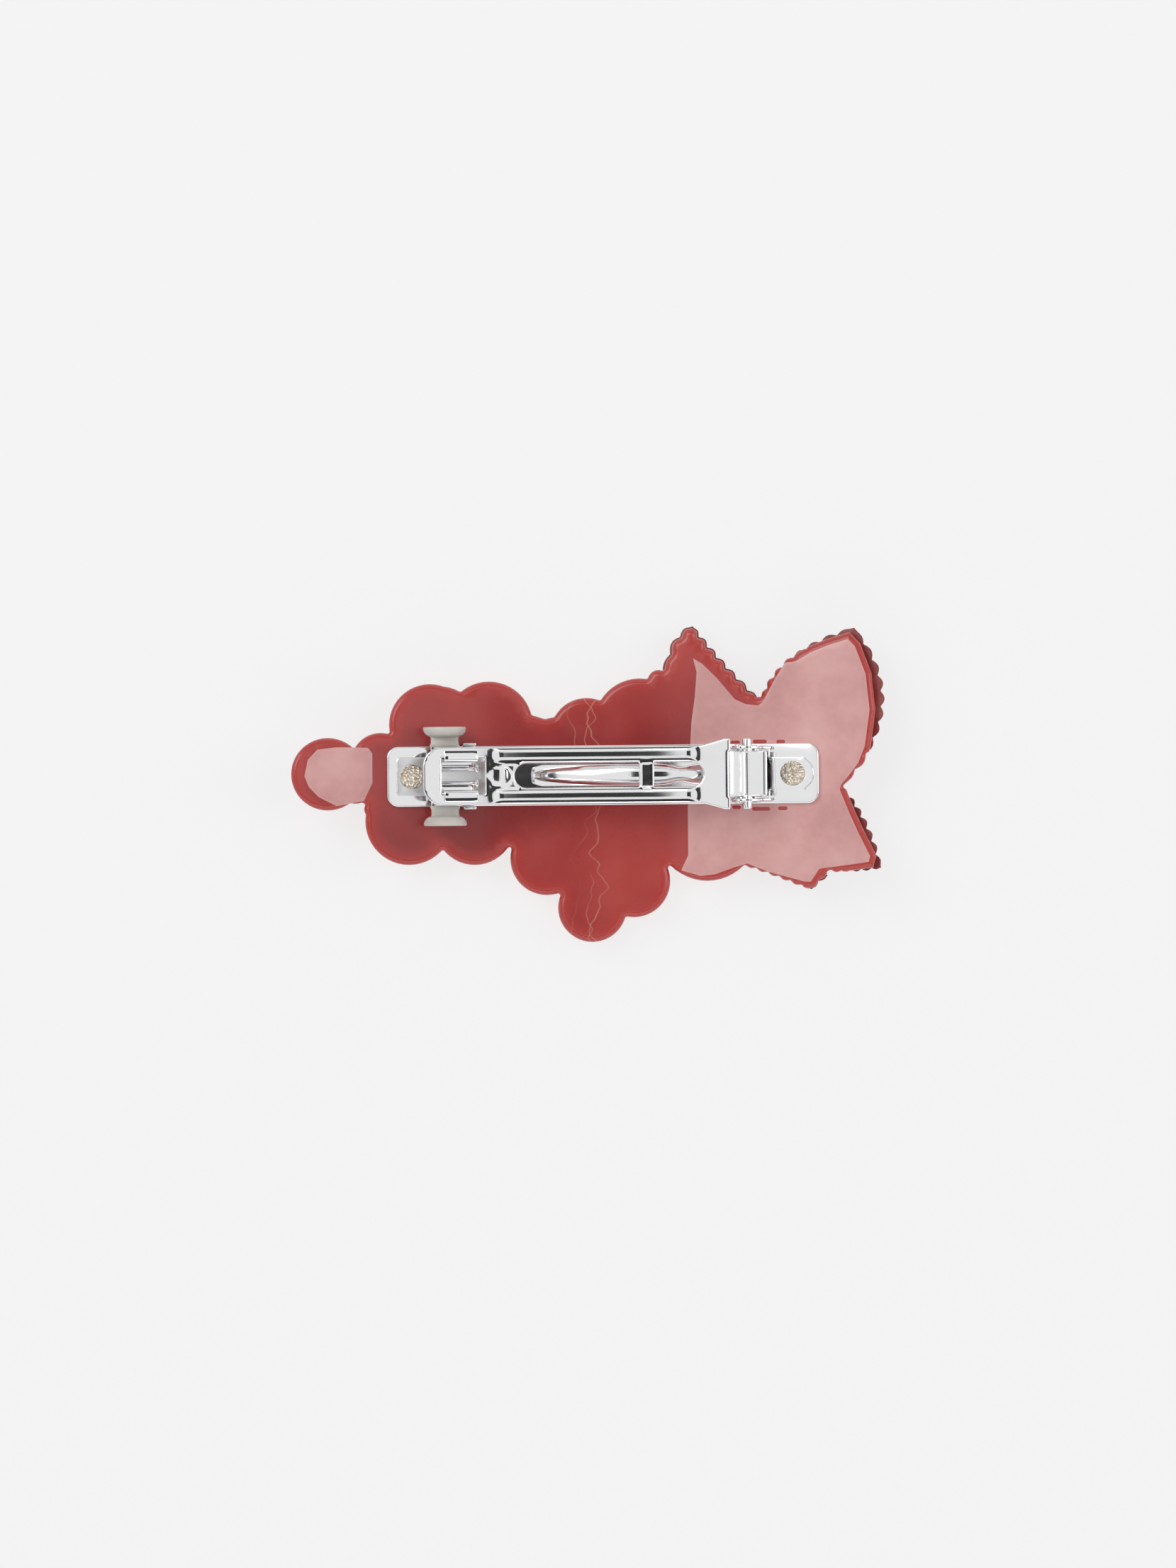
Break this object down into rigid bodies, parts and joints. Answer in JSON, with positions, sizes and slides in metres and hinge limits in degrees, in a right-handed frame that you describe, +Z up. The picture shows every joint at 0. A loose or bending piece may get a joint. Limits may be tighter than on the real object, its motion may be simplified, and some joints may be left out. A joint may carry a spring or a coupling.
{
  "type": "flower hair clip",
  "caption": "Flower and leaf hair clip with a steel snap barrette: hinged arm, tension bar and two squeeze jaws that latch the arm.",
  "frame": {"origin": "on the surface the clip lies on, face down, under the middle of its outline", "axes": "+X along the clasp towards its hinge, +Y across the clasp towards the upright leaf, +Z up from the flower's face to the clasp"},
  "size_m": [0.0825, 0.044, 0.0139],
  "materials": {
    "red_resin": "gloss",
    "pink_panel": "satin",
    "leaf_red": "satin",
    "petal_red": "gloss",
    "centre_pink": "gloss",
    "rivet_steel": "hammered",
    "pad_plastic": "satin",
    "plated_steel": "polished"
  },
  "bodies": {
    "ornament": {"back_plate": "red_resin", "leaf_inlay": "pink_panel", "bud_inlay": "pink_panel", "bud_front": "petal_red", "leaf_front_1": "leaf_red", "leaf_front_2": "leaf_red", "leaf_front_3": "leaf_red", "leaf_front_4": "leaf_red", "left_petal_1": "petal_red", "left_petal_2": "petal_red", "left_petal_3": "petal_red", "left_petal_4": "petal_red", "left_petal_5": "petal_red", "left_petal_6": "petal_red", "right_petal_1": "petal_red", "right_petal_2": "petal_red", "right_petal_3": "petal_red", "right_petal_4": "petal_red", "right_petal_5": "petal_red", "right_petal_6": "petal_red", "right_petal_7": "petal_red", "left_flower_centre": "centre_pink", "right_flower_centre": "centre_pink", "base_strip": "plated_steel", "catch_plate": "plated_steel", "hinge_bracket": "plated_steel", "catch_rivet": "rivet_steel", "hinge_rivet": "rivet_steel"},
    "arm": {"arm": "plated_steel"},
    "tension_bar": {"tension_bar": "plated_steel"},
    "jaw_upper": {"jaw_upper": "plated_steel", "pad_upper": "pad_plastic"},
    "jaw_lower": {"jaw_lower": "plated_steel", "pad_lower": "pad_plastic"}
  },
  "joints": [
    {"name": "arm_hinge", "type": "hinge", "parent": "ornament", "child": "arm", "pos_m": [0.022, 0.0013, 0.01088], "axis": [0, 1, 0], "range_deg": [0, 90]},
    {"name": "tension_bar_hinge", "type": "hinge", "parent": "ornament", "child": "tension_bar", "pos_m": [0.02086, 0.0013, 0.00842], "axis": [0, 1, 0], "range_deg": [0, 40.5]},
    {"name": "jaw_upper_pivot", "type": "hinge", "parent": "ornament", "child": "jaw_upper", "pos_m": [-0.01831, 0.0023, 0.00728], "axis": [0.9924, 0, -0.1234], "range_deg": [0, 13], "stiffness_Nm_per_rad": 0.004, "springref_deg": -5.73},
    {"name": "jaw_lower_pivot", "type": "hinge", "parent": "ornament", "child": "jaw_lower", "pos_m": [-0.01831, 0.0003, 0.00728], "axis": [-0.9924, 0, 0.1234], "range_deg": [0, 13], "stiffness_Nm_per_rad": 0.004, "springref_deg": -5.73}
  ],
  "couplings": [
    {"joint": "tension_bar_hinge", "follows": "arm_hinge", "ratio": 0.45}
  ]
}
